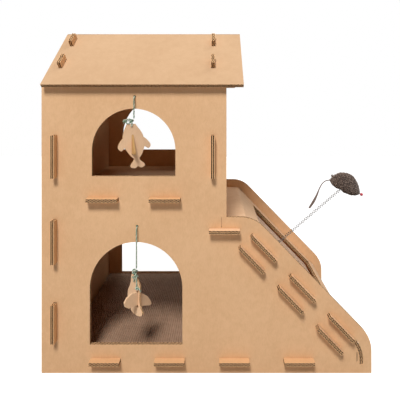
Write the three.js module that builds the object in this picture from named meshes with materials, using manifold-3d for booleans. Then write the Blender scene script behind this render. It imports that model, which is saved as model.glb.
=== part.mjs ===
// A cat house of slotted double-wall board: a tower of two rooms under a folded roof, a ramp with a
// scratch pad beside it, a fish on a cord above each door and a toy mouse on a coil spring.
// Millimetres, +Z up. X runs to the right along the front, Y from the front to the back.
import * as THREE from 'three';
import { mergeVertices } from 'three/addons/utils/BufferGeometryUtils.js';
import Module from 'manifold-3d';

const wasm = await Module();
wasm.setup();

// Board and fits
const board = 7;
const fit = 0.3;
const overrun = 20;
const skin = 1;
const tabReach = 13;
const weldTolerance = 0.0001;

// Front and back panels
const towerWidth = 351.5;
const ledgeRun = 52.8;
const ledgeDrop = 38;
const noseHeight = 67;
const cornerRadius = 62;
const roomDepth = 323;
const reliefWidth = 1;
const reliefInset = 9.5;
const reliefClearance = 1.5;

// Floors
const lowerFloorHeight = 28.5;
const upperFloorHeight = 334;

// Arched openings: shift from the tower's middle, radius, sill height and height of the straight sides
const upperSillRise = 40;
const windowSillRise = 46;
const lintelHeight = 49.1;
const upperDoor = { shift: -0.75, radius: 79.4, sill: upperFloorHeight + upperSillRise, straight: 49 };
const lowerDoor = { shift: 4, radius: 88, sill: 54, straight: 107 };
const backWindow = { shift: -0.75, radius: 108, sill: upperFloorHeight + windowSillRise, straight: 40 };
const backDoor = { shift: -0.75, radius: 110.5, sill: 35, straight: 115 };
const sideDoor = { radius: 82, lift: 1, straight: 83 };

// Walls, with the heights of their tabs' middles and the tabs' lengths
const wallInset = 22.5;
const leftTabHeights = [98.2, 251.5, 412.2];
const leftTabLengths = [72.4, 82, 80.5];
const rightTabHeights = [412.2];
const rightTabLengths = [80.5];

// Tabs of the floors, as places from the panel's left edge and lengths
const lowerFloorInset = 52;
const lowerTabSpacing = 122;
const lowerTabCount = 4;
const lowerTabLength = 57;
const upperTabPlaces = [117, 235];
const upperTabLength = 59;

// Ribbed mat on the lower floor
const matThickness = 6;
const matMargin = 4;
const matWidth = 288;
const ribPitch = 4.5;
const ribHeight = 1.6;
const ribSteps = 6;

// Ramp: one folded board of landing, slope, bend and riser
const rampAngle = THREE.MathUtils.degToRad(45.8);
const rampSink = 23.5;
const landingDrop = 21;
const landingInTower = 38;
const landingTab = { shift: -4, length: 58 };
const creaseRadius = 15;
const riserInset = 16;
const riserBendRadius = 60;
const riserSlotFoot = 17;
const slopeTabStart = 13;
const slopeTabGap = 40;
const slopeTabFoot = 26;
const slopeTabCount = 3;
const cutoutStart = 56;
const cutoutFoot = 42;
const cutoutMargin = 35;

// Support board below the ramp, with its end flap folded up against the riser
const trayDepth = 24;
const supportFoldRadius = 1.5;
const flapInset = 32;
const flapTop = 37;
const slitWidth = 1.5;
const slitInset = 27.5;
const slitFoot = 22;
const slitTop = 40;

// Scratch pad, loose in the cut-out
const padGap = 6;
const padSideGap = 10;
const padRecess = 3.5;

// Roof: one folded sheet
const gableRise = 106.5;
const roofFoldInset = 113.5;
const eaveRun = 13.3;
const rearEaveRun = -3;
const roofFoldRadius = 2;
const roofLeft = 4;
const roofOverhang = 32;
const roofTabPlaces = [50, 125];
const roofTabLength = 29;
const roofTabReach = 13;

// Hanging cords
const cordDiameter = 3;
const cordHoleDiameter = 5;
const cordHoleShift = 2;
const cordBendRadius = 6;
const cordLinkLength = 5;
const cordBendRoom = 1.2;
const stopKnotRadius = 4.5;
const stopKnotLength = 9;
const cordSides = 8;

// Fish above the upper door
const upperHoleRise = 23;
const upperCordDrop = 41;
const fishLength = 86.5;
const fishHalfSpan = 31.3;
const fishTilt = THREE.MathUtils.degToRad(2.5);
const fishLean = 0.12;
const fishTurn = THREE.MathUtils.degToRad(33);
const fishHeadInset = 5.8;
const fishKnot = { length: 18, height: 10, thickness: 9, shift: 5 };
const finSpan = 29;
const finRoot = 37;
const finPlace = 20;
const finShift = -3;

// Fish above the lower door
const lowerHoleRise = 30;
const lowerCordDrop = 77;
const petalLength = 76;
const petalHalfSpan = 27;
const petalTilt = THREE.MathUtils.degToRad(13);
const petalTurn = THREE.MathUtils.degToRad(-34);
const petalHeadInset = 8.4;
const petalKnot = { length: 15, height: 12, thickness: 8, shift: 5 };
const petalFinSpan = 68;
const petalFinRoot = 30;
const petalFinPlace = 29;
const petalFinShift = 4.5;
const toyThickness = 3;

// Spring and its plug
const springRise = THREE.MathUtils.degToRad(40.4);
const springPlace = 126;
const springLength = 204.5;
const springRadius = 3;
const springWire = 0.9;
const springPitch = 5;
const curlSteps = 8;
const wireSides = 5;
const plugRadius = 7;
const plugRecess = 1;
const springCupRadius = 4.1;

// Toy mouse
const mouseLength = 77;
const mouseTilt = THREE.MathUtils.degToRad(-25.6);
const mouseHeight = 47;
const mouseWidth = 40;
const mouseSeatShare = 0.415;
const mouseSeatDepth = 8.5;
const mouseSocketFlare = 6;
const noseRadius = 3.6;
const tailWidth = 6;
const tailThickness = 1.2;
const tailShift = 5;
const tailRootRadius = 1.6;
const tailSet = 1.9;
const tailReach = 53;
const tailDrop = 67;

// Places that follow from the sizes above
const backInner = board + roomDepth;
const houseDepth = backInner + board;
const middleDepth = houseDepth / 2;
const rampRise = Math.tan(rampAngle);
const ledgeHeight = upperFloorHeight - ledgeDrop;
const ledgeEnd = towerWidth + ledgeRun;
const panelWidth = ledgeEnd + (ledgeHeight - noseHeight) / rampRise;
const landingHeight = ledgeHeight - landingDrop;
const slopeAtLanding = ledgeEnd + (landingDrop - rampSink / Math.cos(rampAngle)) / rampRise;
const riserFace = panelWidth - riserInset;
const rightWallX = towerWidth - wallInset - board;
const landingStart = towerWidth - landingInTower;
const landingTabMiddle = towerWidth + landingTab.shift;
const panelHeight = upperDoor.sill + upperDoor.straight + upperDoor.radius + lintelHeight;
const gableHeight = panelHeight + gableRise;
const roofPitch = Math.atan2(gableRise - fit, roofFoldInset);

const doorMiddle = (door) => towerWidth / 2 + door.shift;

// Turns of the drawing plane: outlines are drawn in X and Z, or in Y and Z
const frontPlane = new THREE.Matrix4().makeBasis(
  new THREE.Vector3(1, 0, 0), new THREE.Vector3(0, 0, 1), new THREE.Vector3(0, -1, 0));
const sidePlane = new THREE.Matrix4().makeBasis(
  new THREE.Vector3(0, 1, 0), new THREE.Vector3(0, 0, 1), new THREE.Vector3(1, 0, 0));

// Solids and meshes

function solidOf(geometry) {
  const bare = geometry.clone();
  bare.deleteAttribute('normal');
  bare.deleteAttribute('uv');
  const merged = mergeVertices(bare, weldTolerance);
  return new wasm.Manifold(new wasm.Mesh({
    numProp: 3,
    vertProperties: new Float32Array(merged.attributes.position.array),
    triVerts: new Uint32Array(merged.index.array),
  }));
}

function geometryOf(solid) {
  const mesh = solid.getMesh();
  const geometry = new THREE.BufferGeometry();
  geometry.setAttribute('position', new THREE.BufferAttribute(mesh.vertProperties, 3));
  geometry.setIndex(new THREE.BufferAttribute(mesh.triVerts, 1));
  geometry.computeVertexNormals();
  return geometry;
}

function frontExtrusion(shape, near, far, curveSegments = 12) {
  const depth = far - near;
  const geometry = new THREE.ExtrudeGeometry(shape, { depth, bevelEnabled: false, curveSegments });
  geometry.applyMatrix4(frontPlane);
  geometry.translate(0, far, 0);
  return geometry;
}

function sideExtrusion(shape, left, right, curveSegments = 12) {
  const depth = right - left;
  const geometry = new THREE.ExtrudeGeometry(shape, { depth, bevelEnabled: false, curveSegments });
  geometry.applyMatrix4(sidePlane);
  geometry.translate(left, 0, 0);
  return geometry;
}

function block(left, right, near, far, low, high) {
  const geometry = new THREE.BoxGeometry(right - left, far - near, high - low);
  geometry.translate((left + right) / 2, (near + far) / 2, (low + high) / 2);
  return solidOf(geometry);
}

function joined(solids) {
  return solids.reduce((whole, piece) => whole.add(piece));
}

function cutBy(solid, cutters) {
  return solid.subtract(joined(cutters));
}

// Outlines

function polygon(points) {
  return new THREE.Shape(points.map(([a, b]) => new THREE.Vector2(a, b)));
}

// Adds a corner at `corner`, rounded by an arc that meets both sides
function roundedCorner(shape, before, corner, after, radius) {
  const incoming = corner.clone().sub(before).normalize();
  const outgoing = after.clone().sub(corner).normalize();
  const turn = Math.atan2(incoming.cross(outgoing), incoming.dot(outgoing));
  const tangent = radius * Math.tan(Math.abs(turn) / 2);
  const start = corner.clone().addScaledVector(incoming, -tangent);
  const side = Math.sign(turn);
  const toCentre = new THREE.Vector2(-incoming.y, incoming.x).multiplyScalar(side * radius);
  const centre = start.clone().add(toCentre);
  const from = Math.atan2(start.y - centre.y, start.x - centre.x);
  shape.lineTo(start.x, start.y);
  shape.absarc(centre.x, centre.y, radius, from, from + turn, turn < 0);
}

function archOutline(middle, door) {
  const spring = door.sill + door.straight;
  const shape = new THREE.Shape();
  shape.moveTo(middle - door.radius, door.sill);
  shape.lineTo(middle + door.radius, door.sill);
  shape.lineTo(middle + door.radius, spring);
  shape.absarc(middle, spring, door.radius, 0, Math.PI, false);
  shape.closePath();
  return shape;
}

// A folded sheet is drawn as one line of straight runs and bends, walked by its length.
// A negative turn bends down, and a bend's radius is measured on the line itself.
function foldedLine(a, z, heading, runs) {
  const pieces = [];
  let place = new THREE.Vector2(a, z);
  let angle = heading;
  let walked = 0;
  for (const run of runs) {
    const length = run.turn ? Math.abs(run.turn) * run.radius : run.length;
    const { turn = 0, radius } = run;
    const piece = { from: walked, to: walked + length, place, angle, turn, radius };
    pieces.push(piece);
    place = pointOn(piece, length).place;
    angle += piece.turn;
    walked += length;
  }
  return { pieces, length: walked };
}

function pointOn(piece, walked) {
  if (!piece.turn) {
    const along = new THREE.Vector2(Math.cos(piece.angle), Math.sin(piece.angle));
    return { place: piece.place.clone().addScaledVector(along, walked), angle: piece.angle };
  }
  const side = Math.sign(piece.turn);
  const angle = piece.angle + side * walked / piece.radius;
  const centre = piece.place.clone().add(leftOf(piece.angle).multiplyScalar(side * piece.radius));
  return { place: centre.sub(leftOf(angle).multiplyScalar(side * piece.radius)), angle };
}

function leftOf(angle) {
  return new THREE.Vector2(-Math.sin(angle), Math.cos(angle));
}

function walk(line, walked) {
  const piece = line.pieces.find((one) => walked <= one.to) ?? line.pieces.at(-1);
  return pointOn(piece, walked - piece.from);
}

const bendSteps = 8;

// The stretch of a folded sheet from `start` to `end`, between two heights over its line
function sheetOutline(line, start, end, low, high) {
  const stops = new Set([start, end]);
  for (const piece of line.pieces) {
    const steps = piece.turn ? bendSteps : 1;
    for (let step = 0; step <= steps; step += 1) {
      const stop = piece.from + (piece.to - piece.from) * step / steps;
      if (stop > start && stop < end) stops.add(stop);
    }
  }
  const walked = [...stops].sort((one, other) => one - other);
  const side = (height) => walked.map((stop) => {
    const { place, angle } = walk(line, stop);
    return place.addScaledVector(leftOf(angle), height);
  });
  return new THREE.Shape([...side(low), ...side(high).reverse()]);
}

function frontSheet(line, start, end, low, high, near, far) {
  return solidOf(frontExtrusion(sheetOutline(line, start, end, low, high), near, far));
}

function sideSheet(line, start, end, low, high, left, right) {
  return solidOf(sideExtrusion(sheetOutline(line, start, end, low, high), left, right));
}

// A board that lies between the panels. Its blank is as deep as its tabs reach, and what isn't a tab
// is cut back to the panels' inner faces. A flush stretch is cut back to their outer faces instead.
function tabbedBoard(line, tabs) {
  const blank = frontSheet(line, 0, line.length, -board, 0, -tabReach, houseDepth + tabReach);
  const notches = [];
  const cutBack = (start, end, near, far) => {
    notches.push(frontSheet(line, start, end, -board - skin, skin, -tabReach - overrun, near));
    notches.push(frontSheet(line, start, end, -board - skin, skin, far, houseDepth + tabReach + overrun));
  };
  let cut = -overrun;
  for (const tab of tabs) {
    if (tab.start > cut) cutBack(cut, tab.start, board + fit, backInner - fit);
    if (tab.flushFrom) cutBack(tab.flushFrom, line.length + overrun, 0, houseDepth);
    cut = tab.end;
  }
  cutBack(cut, line.length + overrun, board + fit, backInner - fit);
  return notches.reduce((solid, notch) => solid.subtract(notch), blank);
}

function tabSlots(line, tabs) {
  return tabs.map((tab) => frontSheet(
    line, tab.start - fit, tab.end + fit, -board - fit, fit, -overrun, houseDepth + overrun));
}

// Floors

const leftWallFace = wallInset + board;
const lowerFloorLine = foldedLine(leftWallFace + fit, lowerFloorHeight, 0,
  [{ length: panelWidth - lowerFloorInset - leftWallFace - fit }]);
const lowerFloorTabs = Array.from({ length: lowerTabCount }, (_, index) => {
  const middle = lowerTabSpacing * (index + 1) - leftWallFace - fit;
  return { start: middle - lowerTabLength / 2, end: middle + lowerTabLength / 2 };
});
const upperFloorLine = foldedLine(leftWallFace + fit, upperFloorHeight, 0,
  [{ length: rightWallX - leftWallFace - 2 * fit }]);
const upperFloorTabs = upperTabPlaces.map((place) => {
  const middle = place - leftWallFace - fit;
  return { start: middle - upperTabLength / 2, end: middle + upperTabLength / 2 };
});

// Ribs run from front to back on the mat, as one wavy top edge
function matOutline() {
  const left = leftWallFace + fit + matMargin;
  const ribs = Math.round(matWidth / ribPitch);
  const low = lowerFloorHeight + fit;
  const points = [[left, low], [left + matWidth, low]];
  for (let step = ribs * ribSteps; step >= 0; step -= 1) {
    const wave = (1 - Math.cos(2 * Math.PI * step / ribSteps)) / 2;
    points.push([left + matWidth * step / (ribs * ribSteps), low + matThickness - ribHeight * wave]);
  }
  return polygon(points);
}

function floorMat() {
  const inset = board + fit + matMargin;
  return frontExtrusion(matOutline(), inset, houseDepth - inset);
}

// Ramp

const creaseTangent = creaseRadius * Math.tan(rampAngle / 2);
const riserTurn = Math.PI / 2 - rampAngle;
const riserTangent = riserBendRadius * Math.tan(riserTurn / 2);
const slopeToRiser = (riserFace - slopeAtLanding) / Math.cos(rampAngle);
const riserCornerHeight = landingHeight - slopeToRiser * Math.sin(rampAngle);
const rampLine = foldedLine(landingStart, landingHeight, 0, [
  { length: slopeAtLanding - creaseTangent - landingStart },
  { turn: -rampAngle, radius: creaseRadius },
  { length: slopeToRiser - creaseTangent - riserTangent },
  { turn: -riserTurn, radius: riserBendRadius },
  { length: riserCornerHeight - riserTangent },
]);

// Length along the ramp's line at a distance down the slope from the corner of landing and slope
const slopeOrigin = rampLine.pieces[2].from - creaseTangent;
const onSlope = (distance) => slopeOrigin + distance;

const landingTabSpan = {
  start: landingTabMiddle - landingTab.length / 2 - landingStart,
  end: landingTabMiddle + landingTab.length / 2 - landingStart,
};
const cutoutEnd = slopeToRiser - cutoutFoot;
const slopeTabPitch = (slopeToRiser - slopeTabStart - slopeTabFoot + slopeTabGap) / slopeTabCount;
const slopeTabSpans = Array.from({ length: slopeTabCount }, (_, index) => {
  const start = slopeTabStart + slopeTabPitch * index;
  return { start, end: start + slopeTabPitch - slopeTabGap };
});
const lastSlopeTab = slopeTabSpans.at(-1).end;
const rampTabs = [
  landingTabSpan,
  ...slopeTabSpans.map(({ start, end }) => ({ start: onSlope(start), end: onSlope(end) })),
];
// The last tab runs on round the bend as an edge that lies flush in its slot
Object.assign(rampTabs.at(-1), { flushFrom: onSlope(lastSlopeTab), end: rampLine.length - riserSlotFoot });

function rampBoard() {
  const whole = tabbedBoard(rampLine, rampTabs);
  const cutout = frontSheet(rampLine, onSlope(cutoutStart), onSlope(cutoutEnd), -board - overrun, overrun,
    board + cutoutMargin, backInner - cutoutMargin);
  return cutBy(whole, [cutout]);
}

// The support board's line runs parallel to the slope, a board and a tray's depth below it
const supportSink = board + trayDepth;
const supportTopClearance = board + fit;
const supportStart = (supportTopClearance - supportSink * Math.cos(rampAngle)) / Math.sin(rampAngle);
const supportX = slopeAtLanding + supportStart * Math.cos(rampAngle) - supportSink * Math.sin(rampAngle);
const supportZ = landingHeight - supportStart * Math.sin(rampAngle) - supportSink * Math.cos(rampAngle);
const flapX = panelWidth - flapInset;
const flapTurn = Math.PI / 2 + rampAngle;
const flapTangent = supportFoldRadius * Math.tan(flapTurn / 2);
const supportRun = (flapX - supportX) / Math.cos(rampAngle);
const flapFoot = supportZ - supportRun * Math.sin(rampAngle);
const supportLine = foldedLine(supportX, supportZ, -rampAngle, [
  { length: supportRun - flapTangent },
  { turn: flapTurn, radius: supportFoldRadius },
  { length: flapTop - flapFoot - flapTangent },
]);
const supportTabs = slopeTabSpans.map(({ start, end }) => (
  { start: start - supportStart, end: end - supportStart }));

// Spring, in the ramp's middle plane

const springAxis = new THREE.Vector3(Math.cos(springRise), 0, Math.sin(springRise));
const springTurn = new THREE.Quaternion().setFromUnitVectors(new THREE.Vector3(0, 0, 1), springAxis);
const slopeNormal = new THREE.Vector3(Math.sin(rampAngle), 0, Math.cos(rampAngle));
const plugTurn = new THREE.Quaternion().setFromUnitVectors(new THREE.Vector3(0, 1, 0), slopeNormal);
const padTop = board + padRecess;
const springPlaceX = slopeAtLanding + springPlace * Math.cos(rampAngle);
const springPlaceZ = landingHeight - springPlace * Math.sin(rampAngle);
const springFoot = new THREE.Vector3(springPlaceX, middleDepth, springPlaceZ)
  .addScaledVector(slopeNormal, -padTop - plugRecess);
const springTip = springFoot.clone().addScaledVector(springAxis, springLength);

// One unbroken wire: a straight end, the curls, and a straight end, each ring square to the wire
function springGeometry() {
  const rise = springLength - 2 * springWire;
  const curls = Math.round(rise / springPitch);
  const steps = curls * curlSteps;
  const slope = Math.atan2(rise / curls, 2 * Math.PI * springRadius);
  const rings = [];
  const ring = (turn, height, lean) => {
    const out = new THREE.Vector3(Math.cos(turn), Math.sin(turn), 0);
    const along = new THREE.Vector3(Math.sin(turn), -Math.cos(turn), 0);
    const up = along.multiplyScalar(Math.sin(lean)).setZ(Math.cos(lean));
    const middle = out.clone().multiplyScalar(springRadius).setZ(height);
    rings.push({ middle, out, up });
  };
  ring(0, 0, Math.PI / 2);
  for (let step = 0; step <= steps; step += 1) {
    const isEnd = step === 0 || step === steps;
    const lean = isEnd ? (slope + Math.PI / 2) / 2 : slope;
    ring(2 * Math.PI * step / curlSteps, springWire + rise * step / steps, lean);
  }
  ring(2 * Math.PI * steps / curlSteps, springLength, Math.PI / 2);
  const positions = [];
  for (const { middle, out, up } of rings) {
    for (let side = 0; side < wireSides; side += 1) {
      const angle = 2 * Math.PI * side / wireSides;
      const corner = middle.clone()
        .addScaledVector(out, springWire / 2 * Math.cos(angle))
        .addScaledVector(up, springWire / 2 * Math.sin(angle));
      positions.push(...corner.toArray());
    }
  }
  const faces = [];
  for (let row = 0; row + 1 < rings.length; row += 1) {
    for (let side = 0; side < wireSides; side += 1) {
      const next = (side + 1) % wireSides;
      const a = row * wireSides + side;
      const b = row * wireSides + next;
      faces.push(a, b + wireSides, b, a, a + wireSides, b + wireSides);
    }
  }
  const last = (rings.length - 1) * wireSides;
  for (let side = 1; side + 1 < wireSides; side += 1) {
    faces.push(0, side, side + 1, last, last + side + 1, last + side);
  }
  const geometry = new THREE.BufferGeometry();
  geometry.setAttribute('position', new THREE.Float32BufferAttribute(positions, 3));
  geometry.setIndex(faces);
  const middles = rings.map(({ middle }) => middle);
  console.log('least gap of the spring to itself, mm:', leastGap(middles).toFixed(2));
  geometry.applyQuaternion(springTurn);
  geometry.translate(...springFoot.toArray());
  geometry.computeVertexNormals();
  return geometry;
}

// Between points of the wire at least half a curl apart
function leastGap(middles) {
  let least = Infinity;
  middles.forEach((one, index) => {
    for (let other = index + curlSteps / 2; other < middles.length; other += 1) {
      least = Math.min(least, one.distanceTo(middles[other]));
    }
  });
  return least - springWire;
}

// The plug is a dowel in the pad, with a round cup in its top for the spring's foot
function springPlug() {
  const length = trayDepth - padRecess - plugRecess - fit;
  const dowel = new THREE.CylinderGeometry(plugRadius, plugRadius, length, 24);
  dowel.translate(0, -length / 2, 0);
  dowel.applyQuaternion(plugTurn);
  dowel.translate(...springFoot.toArray());
  const cup = new THREE.SphereGeometry(springCupRadius, 20, 12);
  cup.translate(...springFoot.toArray());
  return cutBy(solidOf(dowel), [solidOf(cup)]);
}

function scratchPad() {
  const bottom = supportSink - fit;
  const inset = board + cutoutMargin + padSideGap;
  const pad = frontSheet(rampLine, onSlope(cutoutStart + padGap), onSlope(cutoutEnd - padGap),
    -bottom, -padTop, inset, houseDepth - inset);
  const bore = new THREE.CylinderGeometry(plugRadius + fit, plugRadius + fit, 2 * supportSink + overrun, 24);
  bore.applyQuaternion(plugTurn);
  bore.translate(...springFoot.toArray());
  return cutBy(pad, [solidOf(bore)]);
}

// Roof

const underEave = panelHeight + fit - eaveRun * Math.sin(roofPitch);
const slopeRun = (gableRise - fit) / Math.sin(roofPitch);
const foldTangent = roofFoldRadius * Math.tan(roofPitch / 2);
const flatRun = houseDepth - 2 * roofFoldInset;
const roofLine = foldedLine(-eaveRun * Math.cos(roofPitch), underEave, roofPitch, [
  { length: slopeRun + eaveRun - foldTangent },
  { turn: -roofPitch, radius: roofFoldRadius },
  { length: flatRun - 2 * foldTangent },
  { turn: -roofPitch, radius: roofFoldRadius },
  { length: slopeRun + rearEaveRun - foldTangent },
]);
const mirroredEave = roofLine.length + eaveRun - rearEaveRun;
const roofTabSpans = roofTabPlaces.flatMap((place) => {
  const end = place + roofTabLength;
  return [{ start: place, end }, { start: mirroredEave - end, end: mirroredEave - place }];
});
const wallFaces = [wallInset, rightWallX];

function roofSheet() {
  const sheet = sideSheet(roofLine, 0, roofLine.length, 0, board, roofLeft, towerWidth + roofOverhang);
  const slots = wallFaces.flatMap((left) => roofTabSpans.map((tab) => sideSheet(
    roofLine, tab.start - fit, tab.end + fit, -overrun, board + overrun, left - fit, left + board + fit)));
  return cutBy(sheet, slots);
}

// Walls

const tabsAt = (heights, lengths) => heights.map((height, index) => (
  { low: height - lengths[index] / 2, high: height + lengths[index] / 2 }));
const leftWallTabs = tabsAt(leftTabHeights, leftTabLengths);
const rightWallTabs = tabsAt(rightTabHeights, rightTabLengths);

function wall(left, foot, tabs) {
  const near = board + fit;
  const far = backInner - fit;
  const topDrop = fit / Math.cos(roofPitch) - fit;
  const topAt = (depth) => panelHeight + depth * Math.tan(roofPitch) - topDrop;
  const foldDepth = (gableHeight - fit - panelHeight + topDrop) / Math.tan(roofPitch);
  const body = solidOf(sideExtrusion(polygon([
    [near, foot], [far, foot], [far, topAt(near)],
    [houseDepth - foldDepth, gableHeight - fit], [foldDepth, gableHeight - fit], [near, topAt(near)],
  ]), left, left + board));
  const tongues = tabs.map(({ low, high }) => block(
    left, left + board, -tabReach, houseDepth + tabReach, low, high));
  const roofTongues = roofTabSpans.map((tab) => sideSheet(
    roofLine, tab.start, tab.end, -board, board + roofTabReach, left, left + board));
  return joined([body, ...tongues, ...roofTongues]);
}

function wallSlots(left, tabs) {
  return tabs.map(({ low, high }) => block(
    left - fit, left + board + fit, -overrun, houseDepth + overrun, low - fit, high + fit));
}

function towerRightWall() {
  const doorway = archOutline(middleDepth, { ...sideDoor, sill: upperFloorHeight + sideDoor.lift });
  const opening = solidOf(sideExtrusion(doorway, rightWallX - overrun, rightWallX + board + overrun));
  return cutBy(wall(rightWallX, landingHeight + fit, rightWallTabs), [opening]);
}

// Panels

function panelOutline() {
  const nose = new THREE.Vector2(panelWidth, noseHeight);
  const ledgeCorner = new THREE.Vector2(ledgeEnd, ledgeHeight);
  const ledgeStart = new THREE.Vector2(towerWidth, ledgeHeight);
  const shape = new THREE.Shape();
  shape.moveTo(0, 0);
  shape.lineTo(panelWidth, 0);
  roundedCorner(shape, new THREE.Vector2(panelWidth, 0), nose, ledgeCorner, cornerRadius);
  roundedCorner(shape, nose, ledgeCorner, ledgeStart, cornerRadius);
  shape.lineTo(towerWidth, ledgeHeight);
  shape.lineTo(towerWidth, panelHeight);
  shape.lineTo(0, panelHeight);
  shape.closePath();
  return shape;
}

const sharedSlots = [
  ...tabSlots(lowerFloorLine, lowerFloorTabs),
  ...tabSlots(upperFloorLine, upperFloorTabs),
  ...tabSlots(rampLine, rampTabs),
  ...tabSlots(supportLine, supportTabs),
  ...wallSlots(wallInset, leftWallTabs),
  ...wallSlots(rightWallX, rightWallTabs),
  reliefSlot(towerWidth - reliefInset, reliefWidth, landingHeight + fit + reliefClearance, ledgeHeight),
  reliefSlot(panelWidth - slitInset, slitWidth, slitFoot, slitTop),
];

function reliefSlot(middle, width, low, high) {
  return block(middle - width / 2, middle + width / 2, -overrun, houseDepth + overrun, low, high);
}

function panel(near, openings) {
  const cutters = openings.map(solidOf);
  return cutBy(solidOf(frontExtrusion(panelOutline(), near, near + board)), [...sharedSlots, ...cutters]);
}

function archCutter(door) {
  return frontExtrusion(archOutline(doorMiddle(door), door), -overrun, houseDepth + overrun, 20);
}

function cordHole(hole) {
  const bore = new THREE.CylinderGeometry(cordHoleDiameter / 2, cordHoleDiameter / 2, 2 * overrun, 12);
  bore.translate(hole.x, 0, hole.z);
  return bore;
}

const holeAbove = (door, rise) => new THREE.Vector3(
  doorMiddle(door) + cordHoleShift, 0, door.sill + door.straight + door.radius + rise);
const upperHole = holeAbove(upperDoor, upperHoleRise);
const lowerHole = holeAbove(lowerDoor, lowerHoleRise);

// Cords. Each comes out of its hole, bends down over the edge and hangs in two stretches, because
// it swings forwards at the first joint and sideways at the second. Round ends meet at the joints.

const cordRadius = cordDiameter / 2;
const cordPlane = -cordBendRadius;

function tube(points, radius) {
  const path = new THREE.CatmullRomCurve3(points, false, 'centripetal');
  const section = new THREE.Shape();
  section.absarc(0, 0, radius, 0, 2 * Math.PI, false);
  const steps = Math.max(2, Math.round(path.getLength() / (2.5 * cordDiameter)));
  return solidOf(new THREE.ExtrudeGeometry(section, {
    steps, bevelEnabled: false, extrudePath: path, curveSegments: cordSides }));
}

function ball(centre, radius, sides = 12) {
  const sphere = new THREE.SphereGeometry(radius, sides, sides - 2);
  sphere.translate(...centre.toArray());
  return solidOf(sphere);
}

function below(point, drop) {
  return point.clone().setZ(point.z - drop);
}

const firstJoint = (hole) => new THREE.Vector3(hole.x, cordPlane, hole.z - cordBendRadius);
const secondJoint = (hole) => below(firstJoint(hole), cordLinkLength);

// The stretch in the hole, with the knot behind the panel that keeps it from slipping out. It ends a
// bend's room above the next stretch, whose round top swings clear of its slanting end.
function cordStop(hole) {
  const from = new THREE.Vector3(hole.x, board + stopKnotLength, hole.z);
  const joint = firstJoint(hole);
  const bend = cordBendRadius * Math.SQRT1_2;
  const over = new THREE.Vector3(hole.x, -bend, hole.z - cordBendRadius + bend);
  const edge = new THREE.Vector3(hole.x, 0, hole.z);
  const cord = tube([from, edge, over, below(joint, -cordRadius - cordBendRoom)], cordRadius);
  const half = stopKnotLength / 2;
  const lobe = stopKnotRadius / 3;
  const knot = new THREE.LatheGeometry([
    new THREE.Vector2(0, -half),
    new THREE.Vector2(stopKnotRadius - lobe, -half),
    new THREE.Vector2(stopKnotRadius, -half + lobe),
    new THREE.Vector2(stopKnotRadius - lobe, 0),
    new THREE.Vector2(stopKnotRadius, half - lobe),
    new THREE.Vector2(stopKnotRadius - lobe, half),
    new THREE.Vector2(0, half),
  ], 16);
  knot.translate(hole.x, board + fit + half, hole.z);
  return joined([cord, solidOf(knot)]);
}

function cordLink(hole) {
  const top = firstJoint(hole);
  const end = below(secondJoint(hole), -cordRadius - fit);
  return joined([ball(top, cordRadius), tube([top, top.clone().lerp(end, 0.5), end], cordRadius)]);
}

function cordHang(hole, drop) {
  const top = secondJoint(hole);
  const end = below(hole.clone().setY(cordPlane), drop);
  return joined([ball(top, cordRadius), tube([top, top.clone().lerp(end, 0.5), end], cordRadius)]);
}

// Knots and fish. The fish are die-cut from thin card, and a second piece crosses each through a slit.

function toyKnot(hole, drop, knot) {
  const sphere = new THREE.SphereGeometry(1, 16, 12);
  sphere.scale(knot.length / 2, knot.thickness / 2, knot.height / 2);
  sphere.translate(hole.x - knot.shift, cordPlane, hole.z - drop - fit - knot.height / 2);
  return sphere;
}

// Half of the upper fish's outline, from the head down, as shares of its half span and length
const fishSideShares = [[0.26, 0], [0.375, 0.075], [0.515, 0.155], [0.61, 0.24], [0.64, 0.3]];
const fishFinShares = [[0.64, 0.3], [0.82, 0.36], [1, 0.46], [0.98, 0.53], [0.84, 0.565]];
const fishBellyShares = [[0.62, 0.505], [0.5, 0.59], [0.35, 0.685], [0.16, 0.755]];
const fishTailShares = [[0.16, 0.755], [0.22, 0.81], [0.43, 0.89], [0.41, 0.945], [0.18, 0.97]];
const fishNotchShares = [[0, 0.925]];

// The lower fish's outline, clockwise from its top, as shares of its half span and length
const petalBackShares = [[0.04, 0], [0.12, 0.03], [0.32, 0.12], [0.47, 0.22], [0.51, 0.31], [0.42, 0.43],
  [0.3, 0.57], [0.24, 0.69]];
const petalTailShares = [[0.24, 0.69], [0.27, 0.83], [0.35, 0.94], [0.16, 1], [-0.2, 0.995], [-0.56, 0.95],
  [-0.74, 0.87], [-0.68, 0.74]];
const petalFrontShares = [[-0.68, 0.74], [-0.78, 0.65], [-0.88, 0.54], [-0.74, 0.39], [-0.44, 0.25],
  [-0.27, 0.13], [-0.16, 0.01]];

// A closed outline of smooth runs that meet in corners, which leans to the right as it comes down
function splineOutline(runs, span, length, lean) {
  const shape = new THREE.Shape();
  const placed = runs.map((run) => run.map(
    ([across, down]) => new THREE.Vector2(across * span + lean * down * length, -down * length)));
  shape.moveTo(placed[0][0].x, placed[0][0].y);
  placed.forEach((run, index) => {
    const start = index && run[0].distanceTo(placed[index - 1].at(-1)) > 0 ? run : run.slice(1);
    if (start === run) shape.lineTo(run[0].x, run[0].y);
    if (run.length > 2) shape.splineThru(run.slice(1));
    else start.filter((point) => point !== run[0]).forEach((point) => shape.lineTo(point.x, point.y));
  });
  shape.closePath();
  return shape;
}

function mirrored(runs) {
  return runs.map((run) => run.map(([across, down]) => [-across, down]).reverse()).reverse();
}

const fishRuns = [fishSideShares, fishFinShares, fishBellyShares, fishTailShares, fishNotchShares];
const fishOutlineRuns = [...fishRuns, ...mirrored(fishRuns.slice(0, -1))];
const petalOutlineRuns = [petalBackShares, petalTailShares, petalFrontShares];

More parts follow.
